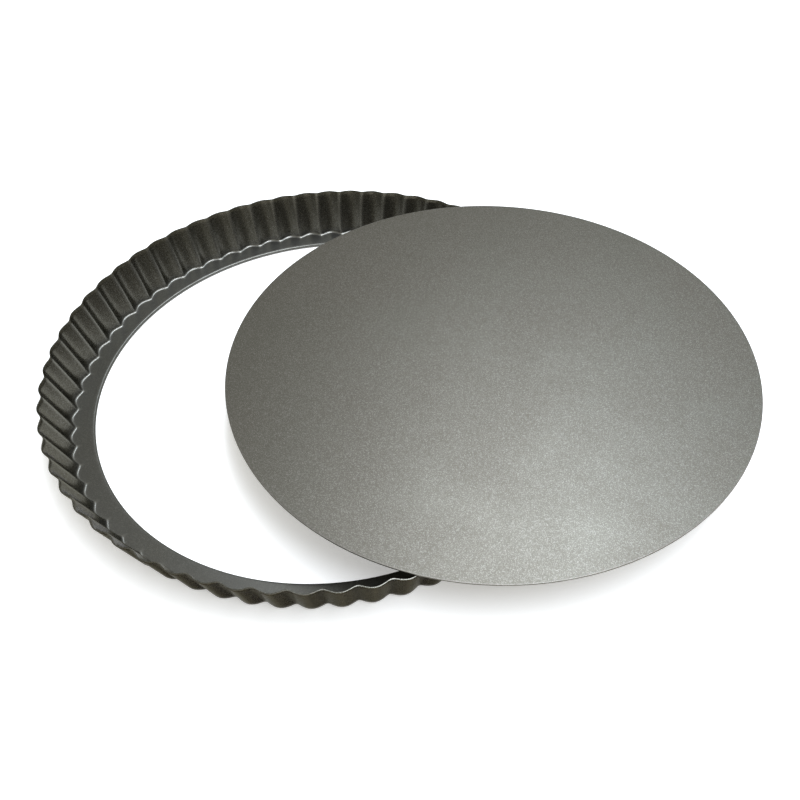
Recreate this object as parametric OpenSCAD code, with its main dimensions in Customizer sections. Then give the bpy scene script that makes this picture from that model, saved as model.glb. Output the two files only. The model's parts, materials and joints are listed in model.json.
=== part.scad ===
// Loose-bottomed tart pan: a fluted ring with an inward ledge, and a flat base plate.
// The base is lifted out of the ring and lies level across its rim, off to one side.
// Frame: origin on the ring's axis, on the surface that the ring stands on. +Z is up.

/* [Ring] */
// Diameter over the crests of the flutes at the rim
rim_d = 280; // [180:1:340]
// Height of the ring from the surface to the rim
ring_h = 27; // [18:0.5:45]
// Lean of the wall outwards from upright, in degrees
wall_lean = 18; // [5:0.5:30]
// Thickness of the ring's sheet metal
sheet_t = 0.6; // [0.4:0.05:1]
// Radius inside the bend between the ledge and the wall
bend_r = 1.5; // [0.8:0.1:3]

/* [Flutes] */
// Number of flutes around the wall
flutes = 63; // [40:1:80]
// Depth of a flute from crest to hollow
flute_depth = 1.8; // [0.8:0.1:3]
// How much narrower the hollows are than the crests
flute_pinch = 0.1; // [0:0.05:0.2]

/* [Ledge] */
// Width of the flat ledge, from the opening to the middle of the bend's start
ledge_w = 9.7; // [6:0.1:16]
// Height of the turned-under hem at the opening, which lifts the ledge off the surface
hem_h = 2; // [1.6:0.1:3]
// Width of the hem's lower leaf, measured from the opening
hem_w = 3.8; // [2.4:0.1:5]
// Radius on the two corners of the hem
hem_r = 0.5; // [0.3:0.05:0.6]

/* [Base] */
// Thickness of the base plate
base_t = 0.8; // [0.5:0.05:1.5]
// Gap between the base's edge and the bend, where a hollow comes nearest
base_gap = 0.8; // [0.4:0.1:2]
// Radius on the base's upper and lower edges
base_edge_r = 0.2; // [0.1:0.05:0.25]
// Distance of the lifted-out base from the ring's axis
base_reach = 80.7; // [20:0.1:100]
// Direction in which the lifted-out base lies, in degrees from +X
base_turn = -8.7; // [-180:0.1:180]
// Air between the rim and the base that lies on it
rest_gap = 0.1; // [0.05:0.05:0.3]

/* [Hidden] */
$fn = 180;

// Points around one flute, and across the bend from the ledge to the wall.
flute_points = 8;
bend_points = 3;
columns = flutes * flute_points;

// The wall's leaf inside the ledge is thinner than the ledge by this on each side, and
// reaches this far into it. The ledge ends short of the flutes by the last value. So the
// two join without sharing a surface or just touching.
join_inset = 0.05;
join_reach = 3;
join_stop = 0.9;

// How far a crest and a hollow stand from the middle of the wave.
flute_half = flute_depth / 2;
crest_out = flute_half * (1 - flute_pinch);
hollow_in = flute_half * (1 + flute_pinch);

// The wall's outside meets the rim here, midway through a flute.
rim_mid_r = rim_d / 2 - crest_out;

// Centre of the bend, and the radius of its outside.
bend_out_r = bend_r + sheet_t;
bend_z = hem_h + bend_r;
bend_mid_r = rim_mid_r
    - (bend_out_r + (ring_h - bend_z) * sin(wall_lean)) / cos(wall_lean);

opening_r = bend_mid_r - ledge_w;
base_r = bend_mid_r - hollow_in - base_gap;
ledge_edge_r = bend_mid_r - hollow_in - join_stop;

// Radial offset of the wave at an angle around the ring.
function wave(a) = flute_half * (cos(flutes * a) - flute_pinch * cos(2 * flutes * a));

// A point on the bend, by the radius of its leaf and by its turn from straight down.
function on_bend(r, turn) = [bend_mid_r + r * sin(turn), bend_z - r * cos(turn)];

// The bend's points on one leaf, from the ledge to the wall.
function bend_line(r) = [for (i = [0 : bend_points - 1])
    on_bend(r, (90 - wall_lean) * i / (bend_points - 1))];

// The wall's section as [radius, height], from inside the ledge up to the rim and back.
rim_width = sheet_t / cos(wall_lean);
leaf_start_r = ledge_edge_r + join_stop - join_reach;
wall_section = concat(
    [[leaf_start_r, hem_h - sheet_t + join_inset]],
    [for (p = bend_line(bend_out_r)) [p[0], max(p[1], hem_h - sheet_t + join_inset)]],
    [[rim_mid_r, ring_h], [rim_mid_r - rim_width, ring_h]],
    [for (i = [bend_points - 1 : -1 : 0])
        let (p = bend_line(bend_r)[i]) [p[0], i == 0 ? p[1] - join_inset : p[1]]],
    [[leaf_start_r, hem_h - join_inset]]
);
section_count = len(wall_section);

// The section's two points inside the ledge stay round. The others follow the flutes.
function wall_point(column, i) =
    let (a = 360 * column / columns,
         p = wall_section[i],
         fluted = i > 0 && i < section_count - 1,
         r = p[0] + (fluted ? wave(a) : 0))
    [r * cos(a), r * sin(a), p[1]];

// Number of a point of the swept wall, counting around both ways.
function spot(column, i) =
    (column % columns) * section_count + (i % section_count);

// Fluted wall with its bend: the section carried around the axis.
module fluted_wall() {
    points = [for (c = [0 : columns - 1], i = [0 : section_count - 1]) wall_point(c, i)];
    faces = [for (c = [0 : columns - 1], i = [0 : section_count - 1], half = [0, 1])
        half == 0
            ? [spot(c, i), spot(c, i + 1), spot(c + 1, i + 1)]
            : [spot(c, i), spot(c + 1, i + 1), spot(c + 1, i)]];
    polyhedron(points = points, faces = faces, convexity = 10);
}

// Quarter of a round corner, as points from one turn to the next about a centre.
function corner(x, y, r, from, to) =
    [for (i = [0 : 4]) let (a = from + (to - from) * i / 4) [x + r * cos(a), y + r * sin(a)]];

// Flat ledge with its inner edge turned under in an open hem that the ring stands on.
module hemmed_ledge() {
    inner_r = opening_r + sheet_t;
    rotate_extrude()
        polygon(concat(
            [[ledge_edge_r, hem_h]],
            corner(opening_r + hem_r, hem_h - hem_r, hem_r, 90, 180),
            corner(opening_r + hem_r, hem_r, hem_r, 180, 270),
            [[opening_r + hem_w, 0], [opening_r + hem_w, sheet_t]],
            [[inner_r, sheet_t], [inner_r, hem_h - sheet_t]],
            [[ledge_edge_r, hem_h - sheet_t]]
        ));
}

// Ring: the fluted wall and the hemmed ledge, one piece of sheet.
module fluted_ring() {
    color("dimgray")
        union() {
            fluted_wall();
            hemmed_ledge();
        }
}

// Base plate with its edges broken, lying level across the rim.
module loose_base() {
    color("darkgray")
        rotate([0, 0, base_turn])
            translate([base_reach, 0, ring_h + rest_gap])
                rotate_extrude()
                    polygon(concat(
                        [[0, 0]],
                        corner(base_r - base_edge_r, base_edge_r, base_edge_r, -90, 0),
                        corner(base_r - base_edge_r, base_t - base_edge_r, base_edge_r, 0, 90),
                        [[0, base_t]]
                    ));
}

fluted_ring();
loose_base();
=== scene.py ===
# %% [markdown]
# # A loose-bottomed tart pan
# The real pan is two thin steel stampings with a non-stick coat: a fluted ring, and a flat round
# base that drops into it. Here the base has been lifted out and lies level across the ring's rim.
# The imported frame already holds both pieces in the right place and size, so this lesson reads its
# overall sizes from there, repeats the few that the frame doesn't tell, and only makes what the eye
# sees: smooth flutes, a hemmed edge, and the coat.

import json
import math

import bpy
import numpy as np
from mathutils import Matrix, Vector


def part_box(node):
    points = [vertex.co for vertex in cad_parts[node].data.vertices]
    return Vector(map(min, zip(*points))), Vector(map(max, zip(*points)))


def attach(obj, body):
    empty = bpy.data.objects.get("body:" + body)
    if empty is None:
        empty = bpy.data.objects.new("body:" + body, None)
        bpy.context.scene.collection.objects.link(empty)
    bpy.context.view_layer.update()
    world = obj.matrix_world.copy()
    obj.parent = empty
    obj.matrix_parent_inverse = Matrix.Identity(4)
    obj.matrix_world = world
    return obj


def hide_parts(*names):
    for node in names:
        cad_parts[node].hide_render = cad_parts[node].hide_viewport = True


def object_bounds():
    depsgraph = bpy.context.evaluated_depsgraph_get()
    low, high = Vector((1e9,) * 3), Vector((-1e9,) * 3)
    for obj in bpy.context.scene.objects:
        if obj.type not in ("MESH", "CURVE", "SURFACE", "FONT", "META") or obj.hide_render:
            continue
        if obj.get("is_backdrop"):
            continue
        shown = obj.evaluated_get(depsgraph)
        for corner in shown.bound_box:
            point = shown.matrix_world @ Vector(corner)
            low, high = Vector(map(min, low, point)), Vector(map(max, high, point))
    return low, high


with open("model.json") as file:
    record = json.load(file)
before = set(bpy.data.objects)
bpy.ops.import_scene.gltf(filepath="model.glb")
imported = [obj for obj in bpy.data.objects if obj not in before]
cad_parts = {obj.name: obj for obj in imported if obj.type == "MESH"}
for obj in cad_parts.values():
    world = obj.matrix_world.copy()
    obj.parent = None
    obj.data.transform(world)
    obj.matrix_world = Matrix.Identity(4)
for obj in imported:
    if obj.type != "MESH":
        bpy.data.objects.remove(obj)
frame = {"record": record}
cad_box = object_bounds()
MM = 0.001

ring_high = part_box("fluted_ring")[1]
base_low, base_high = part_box("loose_base")
mounts = {m["name"]: m for m in frame["record"]["mounts"]}
ring_h = ring_high.z
rim_crest_r = ring_high.x
opening_r = mounts["ring_opening"]["dims"]["r_mm"] * MM
base_mid = np.array((base_low + base_high) / 2)
base_r = (base_high.x - base_low.x) / 2
base_t = base_high.z - base_low.z
print(f"ring {2 * rim_crest_r / MM:.1f} mm across, {ring_h / MM:.1f} mm high, "
      f"opening {2 * opening_r / MM:.1f} mm")
print(f"base {2 * base_r / MM:.1f} mm across, {base_t / MM:.2f} mm thick")

# %% [markdown]
# ## The flutes
# A press forms the flutes in the wall: wide round crests that bulge outwards, and narrower
# hollows that reach in. A plain cosine makes both alike. Taking the root of a squared half-angle
# cosine keeps the crest round and pinches the hollow, and a little of a second squared value under
# the root rounds the hollow's tip, so one number sets how tight it is. The metal is tightest at the
# foot, where the die holds it, and opens a little towards the rim. The flutes are also deepest at
# the foot. Pushing a crest out draws its edge down, so the rim is a touch lower on the crests than
# in the hollows.

# %% How the flutes run
flutes = 63
flute_half = 0.9 * MM
crest_reach = 0.9
hollow_reach = 1.1
wave_range = crest_reach + hollow_reach
tip_at_foot = 0.22
tip_at_rim = 0.42
swing_at_foot = 1.25
swing_at_rim = 1.0
crest_drop = 0.4 * MM


def flute_wave(angle, tip):
    """Height of the wave, from minus hollow_reach in a hollow to crest_reach on a crest.

    The root of (squared cosine of half the flute's angle + squared tip), stretched to that range.
    """
    half_turn = np.cos(flutes * angle / 2)
    root = np.sqrt(half_turn**2 + tip**2)
    lowest = tip
    highest = np.sqrt(1 + tip**2)
    return wave_range * (root - lowest) / (highest - lowest) - hollow_reach


flute_pitch = 2 * math.pi * rim_crest_r / flutes
print(f"{flutes} flutes, {flute_pitch / MM:.1f} mm apart at the rim")

# %% [markdown]
# ## The ring's section
# The ring is one sheet, so its section is one line with a thickness. The line starts at the hidden
# end of the hem, turns up round the opening, runs out along the ledge, bends up and leans out to
# the rim. It is made from straight runs and arcs, and then offset both ways by half the sheet.
# A Solidify modifier could give the thickness, but offsetting the line ourselves keeps the two
# leaves where the frame has them, and lets each cut edge be rounded.

# %% Sizes of the section
sheet_t = 0.6 * MM
wall_lean = math.radians(18)
bend_r = 1.5 * MM
hem_h = 2.0 * MM
hem_w = 3.8 * MM

rim_mid_r = rim_crest_r - crest_reach * flute_half
bend_out_r = bend_r + sheet_t
bend_z = hem_h + bend_r
bend_mid_r = rim_mid_r - (
    (bend_out_r + (ring_h - bend_z) * math.sin(wall_lean)) / math.cos(wall_lean)
)
print(f"ledge {(bend_mid_r - opening_r) / MM:.1f} mm wide, bend's middle {bend_z / MM:.1f} mm high")

# %% Straight runs and arcs


def arc(centre, radius, start, end, count):
    """Points round a centre, from one angle to another, both in degrees."""
    turn = np.radians(np.linspace(start, end, count))
    return np.column_stack([centre[0] + radius * np.cos(turn), centre[1] + radius * np.sin(turn)])


def run(start, end, count):
    """Points along a straight line, without its first and last."""
    share = np.linspace(0, 1, count + 2)[1:-1, None]
    return np.array(start) * (1 - share) + np.array(end) * share


# %% [markdown]
# The middle line stops short of the rim and of the hem's end, because each cut edge bulges a little
# past it. The bulge is the cut's rounding as a share of half the sheet's thickness.

# %% The middle line of the sheet
cut_bulge = 0.35
hem_points = 2
nose_points = 11
ledge_points = 7
bend_points = 9
wall_points = 10

nose_r = (hem_h - sheet_t) / 2
nose = (opening_r + sheet_t / 2 + nose_r, hem_h / 2)
bend_line_r = bend_r + sheet_t / 2
lean_deg = math.degrees(wall_lean)
rim_drop = sheet_t / 2 * math.hypot(math.sin(wall_lean), cut_bulge * math.cos(wall_lean))
wall_foot = (
    bend_mid_r + bend_line_r * math.cos(wall_lean),
    bend_z - bend_line_r * math.sin(wall_lean),
)
wall_head = (
    rim_mid_r - sheet_t / 2 / math.cos(wall_lean) - rim_drop * math.tan(wall_lean),
    ring_h - rim_drop,
)
hem_end = (opening_r + hem_w - cut_bulge * sheet_t / 2, sheet_t / 2)
ledge_z = hem_h - sheet_t / 2

middle_line = np.vstack([
    [hem_end],
    run(hem_end, (nose[0], sheet_t / 2), hem_points),
    arc(nose, nose_r, 270, 90, nose_points),
    run((nose[0], ledge_z), (bend_mid_r, ledge_z), ledge_points),
    arc((bend_mid_r, bend_z), bend_line_r, -90, -lean_deg, bend_points),
    run(wall_foot, wall_head, wall_points),
    [wall_head],
])
line_length = np.linalg.norm(np.diff(middle_line, axis=0), axis=1).sum()
print(f"middle line: {len(middle_line)} points, {line_length / MM:.1f} mm of sheet")

# %% [markdown]
# The sheet's two faces lie half a thickness to either side of the middle line, square to it. The
# two ends are cut edges, and a half circle of points rounds each one off, as tumbling does.

# %% The closed section
cut_points = 5


def square_to(line):
    """Unit vectors at right angles to a line, pointing to its left as it runs."""
    along = np.gradient(line, axis=0)
    along /= np.linalg.norm(along, axis=1)[:, None]
    return np.column_stack([-along[:, 1], along[:, 0]])


def rounded_end(end, towards, side):
    """A flattened half circle across a cut edge, from one face out along the sheet to the other."""
    turn = np.linspace(0, math.pi, cut_points + 2)[1:-1, None]
    return end + sheet_t / 2 * (np.cos(turn) * side + cut_bulge * np.sin(turn) * towards)


side = square_to(middle_line)
food_face = middle_line + side * sheet_t / 2
oven_face = middle_line - side * sheet_t / 2
rim_way = np.array([math.sin(wall_lean), math.cos(wall_lean)])
hem_way = np.array([1.0, 0.0])
rim_cut = rounded_end(middle_line[-1], rim_way, -side[-1])
hem_cut = rounded_end(middle_line[0], hem_way, side[0])
section = np.vstack([oven_face, rim_cut, food_face[::-1], hem_cut])
print(f"closed section of {len(section)} points, lowest {section[:, 1].min() / MM:.2f} mm, "
      f"highest {section[:, 1].max() / MM:.2f} mm")

# %% [markdown]
# ## Sweeping the ring
# Every point of the section is carried round the axis, and pushed in or out by the wave. The push
# fades to nothing across the ledge, so the opening stays a true circle. The columns crowd towards
# the hollows, where the metal turns tightest, so that a few of them are enough for each flute.

# %% Columns round the ring
columns_per_flute = 14
crowding = 0.35


def column_angles():
    """Angles round the ring. Within a flute: even steps, plus crowding times the step's sine."""
    steps = np.arange(flutes * columns_per_flute) / columns_per_flute * 2 * np.pi
    return (steps + crowding * np.sin(steps)) / flutes


print(f"{flutes * columns_per_flute} columns")

# %% The sweep


def smooth_step(x):
    """Zero below 0, one above 1, and between them 3 x squared minus 2 x cubed, an S curve."""
    x = np.clip(x, 0, 1)
    return x * x * (3 - 2 * x)


def swept_ring(angles):
    """Grid of points [column, section], and the wave at each of them.

    Radius = the section's radius + half a flute's depth x swing x wave x how far out it is.
    Height = the section's height - crest_drop x how far up the wall it is x its share of a crest.
    """
    radius = section[:, 0]
    height = section[:, 1]
    turn = angles[:, None]
    up_wall = smooth_step((height - bend_z) / (ring_h - bend_z))
    tip = tip_at_foot + (tip_at_rim - tip_at_foot) * up_wall
    swing = swing_at_foot + (swing_at_rim - swing_at_foot) * up_wall
    hold = smooth_step((radius - opening_r - hem_w) / (bend_mid_r - opening_r - hem_w))
    wave = flute_wave(turn, tip[None, :])
    reach = radius + flute_half * swing * wave * hold
    level = height - crest_drop * up_wall * (wave + hollow_reach) / wave_range
    grid = np.stack([reach * np.cos(turn), reach * np.sin(turn), level], -1)
    return grid, wave * hold


ring_grid, ring_wave = swept_ring(column_angles())
ring_points = ring_grid.reshape(-1, 3)
print(f"ring grid {ring_grid.shape[0]} x {ring_grid.shape[1]}")

# %% [markdown]
# The grid closes on itself both ways, so each column joins the next and the last joins the first.
# The volume inside a closed mesh comes out positive only if its faces point outwards, so printing
# it is a test, and it tells how much steel the ring takes.

# %% Faces and the volume inside


def grid_faces(rows, across):
    """Quads of a grid that closes on itself both ways, each wound the same way round."""
    row, col = np.meshgrid(np.arange(rows), np.arange(across), indexing="ij")
    next_row = (row + 1) % rows
    next_col = (col + 1) % across
    corners = [row * across + col, next_row * across + col,
               next_row * across + next_col, row * across + next_col]
    return np.stack(corners, -1).reshape(-1, 4)


def enclosed_volume(points, quads):
    """Sum over the quads' triangles of a corner dotted with the cross of the other two, over 6."""
    a, b, c, d = (points[quads[:, i]] for i in range(4))
    first_half = np.einsum("ij,ij->", a, np.cross(b, c))
    second_half = np.einsum("ij,ij->", a, np.cross(c, d))
    return (first_half + second_half) / 6


ring_quads = grid_faces(*ring_grid.shape[:2])
print(f"{2 * len(ring_quads)} triangles")
print(f"sheet metal in the ring: {enclosed_volume(ring_points, ring_quads) * 1e6:.1f} cm3")

# %% [markdown]
# ## Attributes for the finish
# The finish has to know where on the ring it is: how far up the wall, where a painted highlight
# lies along the bend, how bare the coat has worn on a cut, and how far it stands proud. What
# is a crest outside is a hollow inside, so proud is the wave turned over on the inside. A texture
# painted by hand could say all this, but each of these follows from the section or the wave, so
# each is worked out as an attribute.

# %% What the finish needs to know
food_side = 1.0
oven_side = 2.0
# The next four numbers lay a painted highlight of steel colour along the food side of the bend.
bend_highlight_turn = 34
bend_highlight_spread = 24
bend_highlight_depth = 0.2 * MM
bend_highlight = 0.25
cut_bareness = [0.02, 0.12, 0.22, 0.12, 0.02]


def section_masks():
    """Values along the section: up the wall on either side, a painted highlight in the bend, bare at a
    cut.

    Up the wall = smooth step of the height above the hem x the number of the side.
    Painted highlight = its peak x a bell curve of the turn round the bend x one of the depth into the
    sheet.
    """
    out = section[:, 0] - bend_mid_r
    down = bend_z - section[:, 1]
    turn = np.degrees(np.arctan2(out, down))
    which_side = np.where(np.arange(len(section)) < len(oven_face), oven_side, food_side)
    on_wall = smooth_step((section[:, 1] - hem_h) / (2 * bend_r)) * (out > 0) * which_side
    off_turn = (turn - bend_highlight_turn) / bend_highlight_spread
    off_face = (np.hypot(out, down) - bend_r) / bend_highlight_depth
    edge_wear_and_bend_highlight = bend_highlight * np.exp(-off_turn**2 - off_face**2)
    bare = np.zeros(len(section))
    bare[len(oven_face):len(oven_face) + cut_points] = cut_bareness
    bare[-cut_points:] = cut_bareness
    return on_wall, edge_wear_and_bend_highlight, bare


wall_mask, bend_highlight_mask, bare_mask = (np.broadcast_to(m, ring_wave.shape) for m in section_masks())
proud = np.where(wall_mask > food_side, ring_wave, -ring_wave)
print(f"proud from {proud.min():.2f} to {proud.max():.2f}, rubbed up to {bend_highlight_mask.max():.2f}")

# %% [markdown]
# The points go into the mesh in one call, and so does each attribute. Smooth shading then hides the
# facets between the columns, as a Subdivision Surface would, but with no more faces.

# %% Put the ring into a mesh


def make_piece(name, points, faces, attributes):
    """A smooth-shaded mesh object at the origin, with one float attribute per named array."""
    mesh = bpy.data.meshes.new(name)
    mesh.from_pydata(points.tolist(), [], faces)
    for label, values in attributes.items():
        layer = mesh.attributes.new(label, "FLOAT", "POINT")
        layer.data.foreach_set("value", np.ascontiguousarray(values, np.float32).ravel())
    mesh.shade_smooth()
    piece = bpy.data.objects.new(name, mesh)
    bpy.context.scene.collection.objects.link(piece)
    return piece


# On the ring, the values in the bend are a painted highlight, not wear.
ring_piece = make_piece("fluted_ring_steel", ring_points, ring_quads.tolist(), {
    "proud": proud,
    "on_wall": wall_mask,
    "edge_wear_and_bend_highlight": bend_highlight_mask,
    "bare_cut": bare_mask,
})
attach(ring_piece, "ring")
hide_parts("fluted_ring")
print(f"{ring_piece.name}: {len(ring_piece.data.vertices)} points")

# %% [markdown]
# ## The base
# The base is blanked from flat sheet, so it is a disc with its edges broken. A cylinder would do
# for the shape, but not for the light: thin sheet is never quite flat, and its gentle waves are
# what bend a reflection. The disc is a polar grid whose height wanders by a few hundredths of a
# millimetre, with its rings close together at the edge, where the rounding is.

# %% The base's profile
base_edge_r = 0.2 * MM
base_wander = 0.04 * MM
edge_run = 0.4 * MM
flat_rings = 24
corner_points = 5
base_half = base_t / 2 - base_wander


def base_profile():
    """Radius and height from the middle of the top, over the edge, to the middle underneath."""
    corner_r = base_r - base_edge_r
    flat = np.linspace(0, 1, flat_rings + 1)[1:] * (corner_r - edge_run)
    top = np.column_stack([flat, np.full(len(flat), base_half)])
    upper = arc((corner_r, base_half - base_edge_r), base_edge_r, 90, 0, corner_points)
    lower = arc((corner_r, base_edge_r - base_half), base_edge_r, 0, -90, corner_points)
    under = np.column_stack([flat[::-1], np.full(len(flat), -base_half)])
    return np.vstack([top, upper, lower, under])


print(f"{len(base_profile())} rings of points")

# %% How far the sheet strays from flat
# Each wave: its turn along x and along y, in radians a metre, and where it starts.
sheet_waves = ((38, 9, 0.4), (-17, 31, 1.9), (-23, 52, 4.1))


def sheet_wander(x, y):
    """Sum of three long, shallow sine waves that run across each other, base_wander at the most."""
    waves = sum(np.sin(along_x * x + along_y * y + start) for along_x, along_y, start in sheet_waves)
    return base_wander / len(sheet_waves) * waves


print(f"shortest wave {2 * math.pi / max(math.hypot(*w[:2]) for w in sheet_waves) / MM:.0f} mm long")

# %% The base's points
base_spokes = 288


def base_disc():
    """Rings of points about the base's middle, then one point above and one below to close it."""
    profile = base_profile()
    turn = np.arange(base_spokes) * 2 * np.pi / base_spokes
    x = np.outer(profile[:, 0], np.cos(turn))
    y = np.outer(profile[:, 0], np.sin(turn))
    z = profile[:, 1][:, None] + sheet_wander(x, y)
    rings = np.stack([x, y, z], -1).reshape(-1, 3)
    poles = np.array([[0, 0, base_half], [0, 0, -base_half]]) + [0, 0, sheet_wander(0, 0)]
    return np.vstack([rings, poles]) + base_mid


base_points = base_disc()
print(f"base: {len(base_points)} points, {base_points[:, 2].min() / MM:.2f} to "
      f"{base_points[:, 2].max() / MM:.2f} mm high")

# %% [markdown]
# The grid is closed round the middle, but open at both ends of the profile. Each end gets one pole
# and a fan of triangles, so the disc holds a volume like the ring.

# %% The base's faces


def disc_faces(ring_count):
    """Quads between neighbouring rings, and a fan of triangles about each of the two poles."""
    ring, spoke = np.meshgrid(np.arange(ring_count - 1), np.arange(base_spokes), indexing="ij")
    here = ring * base_spokes
    there = here + base_spokes
    beside = (spoke + 1) % base_spokes
    quads = np.stack([here + spoke, there + spoke, there + beside, here + beside], -1)
    top_pole = np.full(base_spokes, ring_count * base_spokes)
    first = np.arange(base_spokes)
    last = first + (ring_count - 1) * base_spokes
    top_fan = np.column_stack([top_pole, first, np.roll(first, -1)])
    low_fan = np.column_stack([top_pole + 1, np.roll(last, -1), last])
    return quads.reshape(-1, 4).tolist() + top_fan.tolist() + low_fan.tolist()


base_faces = disc_faces(len(base_profile()))
print(f"{len(base_faces)} faces")

# %% [markdown]
# The base has one attribute. Its upper and lower corners touch the ring each time it goes in and
# out, so the coat is rubbed there, in a line half as wide as the corner's radius either way.

# %% Put the base into a mesh
base_edge_rub = 0.2

from_edge = base_r - np.hypot(base_points[:, 0] - base_mid[0], base_points[:, 1] - base_mid[1])
on_edge = np.abs(from_edge - base_edge_r) < base_edge_r / 2
base_piece = make_piece("loose_base_steel", base_points, base_faces, {
    "edge_wear_and_bend_highlight": base_edge_rub * on_edge,
})
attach(base_piece, "base")
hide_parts("loose_base")
print(f"{base_piece.name}: rubbed at {on_edge.sum()} points")

# %% [markdown]
# ## The non-stick coat
# The coat is a baked lacquer with fine metal flakes in it. Close up it is a dark ground with a
# crowd of tiny mirrors, each tipped its own way; further off those run together into a soft sheen.
# A node tree can make it from three things: small cells for the flakes, a finer grain that tips the
# surface, and broad clouds where the oven has tanned it. Every pattern is read from Object
# coordinates, so it stays put on the piece and needs no unwrapping. A few helpers come first, so
# that each step of the recipe is one line.

# %% A material and its nodes


def new_material(name):
    """An empty material with a Principled shader, and its tree."""
    material = bpy.data.materials.new(name)
    material.use_nodes = True
    tree = material.node_tree
    tree.nodes.clear()
    out = tree.nodes.new("ShaderNodeOutputMaterial")
    shader = tree.nodes.new("ShaderNodeBsdfPrincipled")
    tree.links.new(shader.outputs["BSDF"], out.inputs["Surface"])
    return material, tree, shader


def add_node(tree, kind, settings=None, **inputs):
    """A node with its settings. Inputs go by name, with underscores for spaces, or as _number."""
    node = tree.nodes.new(kind)
    for label, value in (settings or {}).items():
        setattr(node, label, value)
    for label, value in inputs.items():
        number = label[1:]
        socket = node.inputs[int(number) if number.isdigit() else label.replace("_", " ")]
        if isinstance(value, bpy.types.NodeSocket):
            tree.links.new(value, socket)
        else:
            socket.default_value = value
    return node


# %% Short names for common nodes


def maths(tree, operation, a, b, c=0.0):
    """One Math node's output."""
    return add_node(tree, "ShaderNodeMath", {"operation": operation}, _0=a, _1=b, _2=c).outputs[0]


def stretch(tree, value, low, high, to_low, to_high):
    """A value mapped from one range to another, and held inside it."""
    node = add_node(tree, "ShaderNodeMapRange", {"clamp": True}, Value=value,
                    From_Min=low, From_Max=high, To_Min=to_low, To_Max=to_high)
    return node.outputs["Result"]


def blend_colours(tree, share, first, second):
    """Mix of two colours by a share from 0 to 1."""
    node = add_node(tree, "ShaderNodeMix", {"data_type": "RGBA"}, _0=share, _6=first, _7=second)
    return node.outputs[2]


def attribute(tree, label):
    """A mesh attribute as a number."""
    return add_node(tree, "ShaderNodeAttribute", {"attribute_name": label}).outputs["Fac"]


# %% Colours by their paint-chart values


def srgb(red, green, blue):
    """A colour as a paint chart gives it, 0 to 255, as the linear values that a shader takes.

    A share s of 255 is divided by 12.92 when dark, else it is ((s + 0.055) / 1.055) to the 2.4.
    """
    chart = np.array([red, green, blue]) / 255
    linear = np.where(chart <= 0.04045, chart / 12.92, ((chart + 0.055) / 1.055) ** 2.4)
    return (*linear.tolist(), 1.0)


# Steel colour shows on worn cuts and edges, and paints the highlight along the ring's bend.
steel = srgb(168, 167, 162)
# This near black is painted shade for the ring's outer hollows.
hollow_shade_colour = srgb(26, 24, 20)
print("bare steel, as a shader takes it:", [round(part, 3) for part in steel])

# %% [markdown]
# Both pieces have the same lacquer over the same steel, so both start from one set of patterns.
# Each cell of a Voronoi texture carries three random numbers: the first tells how bright its flake
# is, the second how glossy, and the third how high it stands, which tips the coat round it.

# %% The coat's patterns
flake_size = 0.27 * MM
grain_size = 0.35 * MM
cloud_size = 60 * MM
tan_starts = 0.35
tan_ends = 0.65


def coat_patterns(tree):
    """The flakes' three random numbers, the fine grain, and the tan as clouds from 0 to 1."""
    place = add_node(tree, "ShaderNodeTexCoord").outputs["Object"]
    cells = add_node(tree, "ShaderNodeTexVoronoi", Vector=place, Scale=1 / flake_size)
    flakes = add_node(tree, "ShaderNodeSeparateColor", Color=cells.outputs["Color"]).outputs
    grain = add_node(tree, "ShaderNodeTexNoise", Vector=place,
                     Scale=1 / grain_size, Detail=3.0, Roughness=0.6).outputs["Fac"]
    cloud = add_node(tree, "ShaderNodeTexNoise", Vector=place,
                     Scale=1 / cloud_size, Detail=4.0, Roughness=0.55).outputs["Fac"]
    return flakes, grain, stretch(tree, cloud, tan_starts, tan_ends, 0.0, 1.0)


print(f"flakes {flake_size / MM:.2f} mm, grain {grain_size / MM:.2f} mm, clouds {cloud_size / MM:.0f} mm")

# %% [markdown]
# The ring's coat changes over the ring. It is darker and more olive on the wall than on the flat
# ledge. Outside it is darker still, which is painted shade, and the outer hollows get more
# painted shade. What stands proud is paler, which is a painted highlight. Separate materials for
# the inside and the outside would leave a hard line at the rim, so one material blends them by
# the ring's attributes.

# %% How the ring's tone changes
hollow_shade_starts = -0.1
most_hollow_shade = 0.65
ridge_highlight_starts = 0.7
ridge_highlight_ends = 1.1
most_ridge_highlight = 0.4


def ring_lacquer(tree, lacquer, wall_tone, outer_shade_tone):
    """Lacquer blended to one tone up the wall, and to painted shade outside and in the outer hollows."""
    wall = attribute(tree, "on_wall")
    outside = stretch(tree, wall, food_side, oven_side, 0.0, 1.0)
    lacquer = blend_colours(tree, stretch(tree, wall, 0.0, food_side, 0.0, 1.0), lacquer, wall_tone)
    lacquer = blend_colours(tree, outside, lacquer, outer_shade_tone)
    hollow = stretch(tree, attribute(tree, "proud"), hollow_shade_starts, -hollow_reach, 0.0, most_hollow_shade)
    return blend_colours(tree, maths(tree, "MULTIPLY", hollow, outside), lacquer, hollow_shade_colour)


def ridge_highlight(tree):
    """How far what stands proud is paled towards the flakes' tone, as a painted highlight."""
    return stretch(tree, attribute(tree, "proud"), ridge_highlight_starts, ridge_highlight_ends, 0.0, most_ridge_highlight)


# The second number printed is the painted highlight on what stands proud.
print(f"hollow_shade up to {most_hollow_shade:.0%}, wear up to {most_ridge_highlight:.0%}")

# %% [markdown]
# The wall's food side has a thin clear top coat over the lacquer, which mirrors more sharply than
# the flakes do. The flat ledge has none, and is a little more matt than the wall.

# %% How the ring's gloss changes
ledge_matt = 0.1
top_coat = 0.28
top_coat_roughness = 0.2


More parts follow.
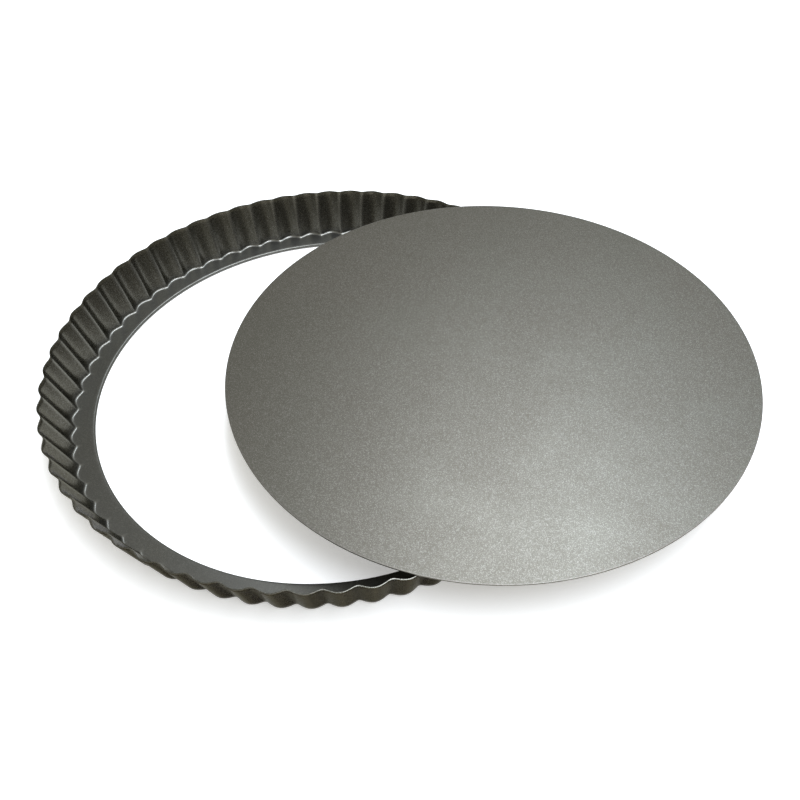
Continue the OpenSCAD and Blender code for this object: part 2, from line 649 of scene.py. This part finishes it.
def ring_gloss(tree, shader, roughness):
    """Adds the top coat on the food side of the wall, and gives the roughness, more on the ledge."""
    wall = attribute(tree, "on_wall")
    off_food_side = maths(tree, "ABSOLUTE", maths(tree, "SUBTRACT", wall, food_side), 0.0)
    clear = stretch(tree, off_food_side, 0.0, 1.0, top_coat, 0.0)
    tree.links.new(clear, shader.inputs["Coat Weight"])
    shader.inputs["Coat Roughness"].default_value = top_coat_roughness
    return maths(tree, "ADD", roughness, stretch(tree, wall, 0.0, food_side, ledge_matt, 0.0))


print(f"top coat {top_coat:.0%}, ledge rougher by {ledge_matt}")

# %% [markdown]
# Where the coat is worn through, steel shows, and the same steel colour paints the highlight along
# the ring's bend. A clean line of it would look painted on, so the grain breaks it up.

# %% Where steel shows
grain_low = 0.3
grain_high = 0.6
least_worn_and_highlit = 0.6


def wear_and_highlight_steel(tree, grain, places):
    """Steel colour for wear and the bend's painted highlight: the most of the attributes, broken up by
    grain.
    """
    worn_and_highlit = attribute(tree, places[0])
    for place in places[1:]:
        worn_and_highlit = maths(tree, "MAXIMUM", attribute(tree, place), worn_and_highlit)
    return maths(tree, "MULTIPLY", worn_and_highlit, stretch(tree, grain, grain_low, grain_high, least_worn_and_highlit, 1.0))


print(f"wear is kept from {least_worn_and_highlit:.0%} to 100% by the grain")

# %% [markdown]
# The rest of the recipe is the same for both pieces. Bright flakes lie in the lacquer, and their
# own gloss and rise make the sparkle. The coat counts as nearly a metal, because so much of what
# comes back from it comes off its flakes. Its pattern is far too fine for real geometry, so it tips
# the light with a Bump node.

# %% The coat's recipe
dim_flake = 0.6
full_flake = 0.95
tan_matt = 0.05
metal_share = 0.9
lacquer_ior = 1.45
lacquer_specular = 0.3
flake_rise = 0.5
bump_strength = 0.35
bump_height = 0.03 * MM


def flake_coat(name, ground, tanned, flake, sparkle, sheen, glance, wall_and_shade_tones=None):
    """Lacquer with metal flakes over steel. Tones, how much the flakes show, and the gloss range."""
    material, tree, shader = new_material(name)
    flakes, grain, tan = coat_patterns(tree)
    lacquer = blend_colours(tree, tan, ground, tanned)
    shown = stretch(tree, flakes[0], dim_flake, full_flake, 0.0, sparkle)
    roughness = maths(tree, "MULTIPLY_ADD", tan, tan_matt, stretch(tree, flakes[1], 0.0, 1.0, *sheen))
    # On the ring these values also paint a highlight along the bend.
    worn_and_highlit = ["edge_wear_and_bend_highlight"]
    if wall_and_shade_tones:
        # Painted shade: darker outside, and darker again in the outer hollows.
        lacquer = ring_lacquer(tree, lacquer, *wall_and_shade_tones)
        # Painted highlight on what stands proud.
        shown = maths(tree, "MAXIMUM", shown, ridge_highlight(tree))
        roughness = ring_gloss(tree, shader, roughness)
        worn_and_highlit = ["edge_wear_and_bend_highlight", "bare_cut"]

    speckled = blend_colours(tree, shown, lacquer, flake)
    coloured = blend_colours(tree, wear_and_highlight_steel(tree, grain, worn_and_highlit), speckled, steel)
    tree.links.new(coloured, shader.inputs["Base Color"])
    tree.links.new(roughness, shader.inputs["Roughness"])
    shader.inputs["Metallic"].default_value = metal_share
    shader.inputs["IOR"].default_value = lacquer_ior
    shader.inputs["Specular IOR Level"].default_value = lacquer_specular
    shader.inputs["Specular Tint"].default_value = glance

    relief = maths(tree, "MULTIPLY_ADD", flakes[2], flake_rise, grain)
    bump = add_node(tree, "ShaderNodeBump", Strength=bump_strength, Distance=bump_height, Height=relief)
    tree.links.new(bump.outputs["Normal"], shader.inputs["Normal"])
    return material


print(f"flakes show from {dim_flake:.2f} to {full_flake:.2f} of their random brightness")

# %% [markdown]
# The base has the thicker, paler coat with more flake in it, and the ring a thinner, darker and
# glossier one. The glance is the tint that the coat takes on where it is seen at a low angle.

# %% Coat the two pieces
ring_coat = flake_coat(
    "ring_coating",
    ground=srgb(94, 94, 91),
    tanned=srgb(87, 86, 81),
    flake=srgb(125, 124, 118),
    sparkle=0.38,
    sheen=(0.2, 0.3),
    glance=srgb(150, 147, 134),
    # The second wall tone is painted shade on the outside of the wall.
    wall_and_shade_tones=(srgb(61, 59, 50), srgb(56, 52, 40)),
)
base_coat = flake_coat(
    "base_coating",
    ground=srgb(93, 91, 84),
    tanned=srgb(89, 86, 79),
    flake=srgb(144, 142, 137),
    sparkle=0.42,
    sheen=(0.32, 0.44),
    glance=srgb(200, 198, 192),
)
ring_piece.data.materials.append(ring_coat)
base_piece.data.materials.append(base_coat)
for coat in (ring_coat, base_coat):
    print(f"{coat.name}: {len(coat.node_tree.nodes)} nodes")

# %% [markdown]
# ## The floor
# A pan like this is shown on a sheet of white paper that runs out of sight. A plain lit sheet would
# go grey in the pan's shadow, so this one glows a little, as on a light table.

# %% Floor
floor_half = 12.0
paper_white = srgb(240, 240, 240)
paper_roughness = 0.9
paper_glow = 0.35


def pale_floor():
    """A flat square sheet under the ring."""
    corners = np.array([[-1, -1, 0], [1, -1, 0], [1, 1, 0], [-1, 1, 0]]) * floor_half
    mesh = bpy.data.meshes.new("studio_floor")
    mesh.from_pydata(corners.tolist(), [], [[0, 1, 2, 3]])
    floor = bpy.data.objects.new("studio_floor", mesh)
    bpy.context.scene.collection.objects.link(floor)
    material, tree, shader = new_material("floor_paper")
    shader.inputs["Base Color"].default_value = paper_white
    shader.inputs["Roughness"].default_value = paper_roughness
    shader.inputs["Emission Color"].default_value = (1.0, 1.0, 1.0, 1.0)
    shader.inputs["Emission Strength"].default_value = paper_glow
    floor.data.materials.append(material)
    return floor


pale_floor()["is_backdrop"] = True
print(f"floor {2 * floor_half:.0f} m square")

# %% [markdown]
# ## The lights
# Dark, nearly metallic sheet shows little but what it mirrors, so the lights are shaped for their
# reflections. One long cool strip overhead, like a window, makes the broad glow on the base and the
# line in the ring's bend. A small blue one just under its far half cools that glow where it is
# brightest. A weak warm lamp in front lifts the near flutes.

# %% Lights


def soft_light(name, place, aim, size, watts, colour):
    """A rectangular area light that hangs at a place and faces an aim point, all in metres."""
    light = bpy.data.lights.new(name, "AREA")
    light.shape = "RECTANGLE"
    light.size = size[0]
    light.size_y = size[1]
    light.energy = watts
    light.color = colour
    lamp = bpy.data.objects.new(name, light)
    bpy.context.scene.collection.objects.link(lamp)
    away = Vector(place) - Vector(aim)
    facing = away.to_track_quat("Z", "Y").to_matrix().to_4x4()
    lamp.matrix_world = Matrix.Translation(place) @ facing
    print(f"{name}: {watts} W, {away.length:.2f} m from what it lights")


soft_light("window_overhead", place=(0.34, 0.1, 1.35), aim=(0.34, 0.1, 0),
           size=(0.55, 2.0), watts=38.5, colour=(0.83, 0.88, 0.96))
soft_light("window_sky", place=(0.5, 0.75, 1.34), aim=(0.5, 0.75, 0),
           size=(0.45, 0.5), watts=1.4, colour=(0.3, 0.68, 1.0))
soft_light("front_fill", place=(-0.1, -1.0, 0.55), aim=(0, 0, 0),
           size=(0.9, 0.9), watts=1.5, colour=(1.0, 0.98, 0.95))

# %% [markdown]
# A warm, even fill comes from all round, as from a studio's walls. It is too dim and too yellow to
# be looked at, so the camera sees a paler backdrop in its place.

# %% The studio all round
fill_light = (1.0, 0.97, 0.84, 1)
fill_strength = 0.47
backdrop = (1.0, 0.99, 0.95, 1)
backdrop_strength = 0.77


def studio_surround():
    """A world that lights with the fill, and shows the camera the backdrop."""
    sky = bpy.data.worlds.new("studio_sky")
    sky.use_nodes = True
    tree = sky.node_tree
    tree.nodes.clear()
    fill = add_node(tree, "ShaderNodeBackground", Color=fill_light, Strength=fill_strength)
    seen = add_node(tree, "ShaderNodeBackground", Color=backdrop, Strength=backdrop_strength)
    looked_at = add_node(tree, "ShaderNodeLightPath").outputs["Is Camera Ray"]
    either = add_node(tree, "ShaderNodeMixShader",
                      _0=looked_at, _1=fill.outputs[0], _2=seen.outputs[0])
    add_node(tree, "ShaderNodeOutputWorld", Surface=either.outputs[0])
    return sky


bpy.context.scene.world = studio_surround()
bpy.context.scene.view_settings.view_transform = "Standard"
print(f"fill {fill_strength}, backdrop {backdrop_strength}")

# %% [markdown]
# ## The camera
# The camera stands in front of the ring and looks down at it steeply enough to see the ledge. It is
# close, so the near side looks larger than the far one, and it is tipped slightly to one side. Its
# place and turns are set straight, as numbers, because nothing in the scene moves it.

# %% Camera
camera_place = (38.8 * MM, -308.5 * MM, 312.9 * MM)
camera_turn = math.radians(0.54)
camera_dip = math.radians(46.7)
camera_roll = math.radians(-2.76)
camera_lens = 37.9
camera_sensor = 36

camera = bpy.data.cameras.new("studio_camera")
camera.sensor_width = camera_sensor
camera.lens = camera_lens
camera_stand = bpy.data.objects.new("studio_camera", camera)
bpy.context.scene.collection.objects.link(camera_stand)
camera_stand.matrix_world = (
    Matrix.Translation(camera_place)
    @ Matrix.Rotation(camera_turn, 4, "Z")
    @ Matrix.Rotation(math.pi / 2 - camera_dip, 4, "X")
    @ Matrix.Rotation(camera_roll, 4, "Z")
)
bpy.context.scene.camera = camera_stand
print(f"camera {Vector(camera_place).length:.2f} m from the ring's middle, "
      f"{math.degrees(camera.angle):.0f} degrees wide")

# %% [markdown]
# ## Sizes
# The box of the imported model and the box of what is shown are printed side by side. The looks may
# not outgrow the frame.

# %% Compare the boxes
seen_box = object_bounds()
for label, box in (("frame", cad_box), ("shown", seen_box)):
    print(label, [round((high - low) / MM, 2) for low, high in zip(*box)], "mm")
